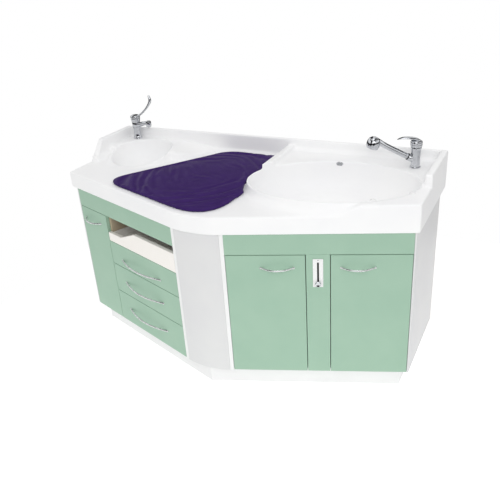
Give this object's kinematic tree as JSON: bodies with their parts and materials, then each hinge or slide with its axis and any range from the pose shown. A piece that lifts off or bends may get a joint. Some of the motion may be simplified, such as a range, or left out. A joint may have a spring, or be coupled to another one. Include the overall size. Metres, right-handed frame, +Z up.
{
  "type": "changing table",
  "caption": "Bow-fronted nursing changing table with a baby bath, a wash basin, a changing mat, drawers and doors.",
  "frame": {"origin": "middle of the table's footprint, on the floor", "axes": "+X to the table's right as seen from the front, +Y to the wall behind it, +Z up"},
  "size_m": [1.797, 0.846, 1.1663],
  "materials": {
    "cast_white": "cast mineral composite, smooth gloss",
    "laminate_white": "melamine-faced board, satin",
    "laminate_green": "melamine-faced board, fine matt grain",
    "laminate_grey": "melamine-faced board, light grey, satin",
    "tray_cream": "moulded tray, cream, satin",
    "drawer_white": "powder-coated drawer sides",
    "chrome": "polished chrome",
    "steel": "zinc-plated steel",
    "vinyl_purple": "soft coated fabric, dark purple",
    "plate_white": "smooth white plastic",
    "pipe_grey": "plain plastic pipe"
  },
  "bodies": {
    "cabinet": {"worktop": "cast_white", "bath_bowl": "cast_white", "wash_bowl": "cast_white", "side_panel_left": "laminate_grey", "side_panel_right": "laminate_grey", "post_panel_left": "laminate_white", "post_panel_right": "laminate_white", "corner_post": "laminate_grey", "centre_partition": "laminate_white", "floor_panel_left": "laminate_white", "floor_panel_right": "laminate_white", "back_panel": "laminate_white", "drawer_partition": "laminate_white", "niche_shelf": "laminate_white", "fascia_left": "laminate_green", "fascia_right": "laminate_green", "centre_strip": "laminate_green", "control_plate": "plate_white", "plinth_front_left": "laminate_white", "plinth_front_right": "laminate_white", "plinth_side_left": "laminate_white", "plinth_side_right": "laminate_white", "runner_top_left": "steel", "runner_top_right": "steel", "runner_middle_left": "steel", "runner_middle_right": "steel", "runner_bottom_left": "steel", "runner_bottom_right": "steel", "mixer_body": "chrome", "tap_body": "chrome", "bath_waste": "chrome", "basin_waste": "chrome", "bath_trap": "pipe_grey", "basin_trap": "pipe_grey"},
    "bath_door_left": {"bath_door_left": "laminate_green", "handle_bath_door_left": "chrome"},
    "bath_door_right": {"bath_door_right": "laminate_green", "handle_bath_door_right": "chrome"},
    "side_door": {"side_door": "laminate_green", "handle_side_door": "chrome"},
    "drawer_top": {"drawer_front_top": "laminate_green", "drawer_box_top": "drawer_white", "handle_drawer_top": "chrome"},
    "drawer_middle": {"drawer_front_middle": "laminate_green", "drawer_box_middle": "drawer_white", "handle_drawer_middle": "chrome"},
    "drawer_bottom": {"drawer_front_bottom": "laminate_green", "drawer_box_bottom": "drawer_white", "handle_drawer_bottom": "chrome"},
    "tray": {"tray": "tray_cream"},
    "changing_mat": {"changing_mat": "vinyl_purple"},
    "control_knob": {"control_knob": "chrome"},
    "bath_plug": {"bath_plug": "chrome"},
    "mixer_cap": {"mixer_cap": "chrome"},
    "mixer_lever": {"mixer_lever": "chrome"},
    "hand_shower": {"hand_shower": "chrome"},
    "tap_cap": {"tap_cap": "chrome"},
    "tap_lever": {"tap_lever": "chrome"},
    "tap_spout": {"tap_spout": "chrome"}
  },
  "joints": [
    {"name": "bath_door_left_hinge", "type": "hinge", "parent": "cabinet", "child": "bath_door_left", "pos_m": [0.14011, -0.3833, 0.4], "axis": [0, 0, -1], "range_deg": [0, 105]},
    {"name": "bath_door_right_hinge", "type": "hinge", "parent": "cabinet", "child": "bath_door_right", "pos_m": [0.87701, -0.11508, 0.4], "axis": [0, 0, 1], "range_deg": [0, 105]},
    {"name": "side_door_hinge", "type": "hinge", "parent": "cabinet", "child": "side_door", "pos_m": [-0.64106, -0.19478, 0.4], "axis": [0, 0, 1], "range_deg": [0, 90]},
    {"name": "drawer_top_slide", "type": "slide", "parent": "cabinet", "child": "drawer_top", "axis": [-0.342, -0.9397, 0], "range_m": [0, 0.28]},
    {"name": "drawer_middle_slide", "type": "slide", "parent": "cabinet", "child": "drawer_middle", "axis": [-0.342, -0.9397, 0], "range_m": [0, 0.28]},
    {"name": "drawer_bottom_slide", "type": "slide", "parent": "cabinet", "child": "drawer_bottom", "axis": [-0.342, -0.9397, 0], "range_m": [0, 0.28]},
    {"name": "tray_slide", "type": "slide", "parent": "cabinet", "child": "tray", "axis": [-0.342, -0.9397, 0], "range_m": [0, 0.28]},
    {"name": "mat_lift_off", "type": "slide", "parent": "cabinet", "child": "changing_mat", "axis": [0, 0, 1], "range_m": [0, 0.15]},
    {"name": "waste_control_slide", "type": "slide", "parent": "cabinet", "child": "control_knob", "axis": [0, 0, 1], "range_m": [0, 0.09]},
    {"name": "bath_plug_lift", "type": "slide", "parent": "cabinet", "child": "bath_plug", "axis": [0, 0, 1], "range_m": [0, 0.009]},
    {"name": "mixer_turn", "type": "hinge", "parent": "cabinet", "child": "mixer_cap", "pos_m": [0.7745, 0.30799, 1.03], "axis": [0, 0, 1], "range_deg": [-45, 45]},
    {"name": "mixer_lift", "type": "hinge", "parent": "mixer_cap", "child": "mixer_lever", "pos_m": [0.79806, 0.31898, 1.0318], "axis": [-0.4226, 0.9063, 0], "range_deg": [0, 16]},
    {"name": "hand_shower_pull", "type": "slide", "parent": "cabinet", "child": "hand_shower", "axis": [-0.8106, -0.378, 0.4472], "range_m": [0, 0.3]},
    {"name": "tap_turn", "type": "hinge", "parent": "cabinet", "child": "tap_cap", "pos_m": [-0.8035, 0.37499, 1.03], "axis": [0, 0, 1], "range_deg": [-35, 35]},
    {"name": "tap_lift", "type": "hinge", "parent": "tap_cap", "child": "tap_lever", "pos_m": [-0.82331, 0.37221, 1.0388], "axis": [0.1392, -0.9903, 0], "range_deg": [0, 16]},
    {"name": "spout_swivel", "type": "hinge", "parent": "cabinet", "child": "tap_spout", "pos_m": [-0.8035, 0.37499, 1.003], "axis": [0, 0, 1], "range_deg": [-60, 10]}
  ],
  "couplings": [
    {"joint": "bath_plug_lift", "follows": "waste_control_slide", "ratio": 0.1}
  ]
}
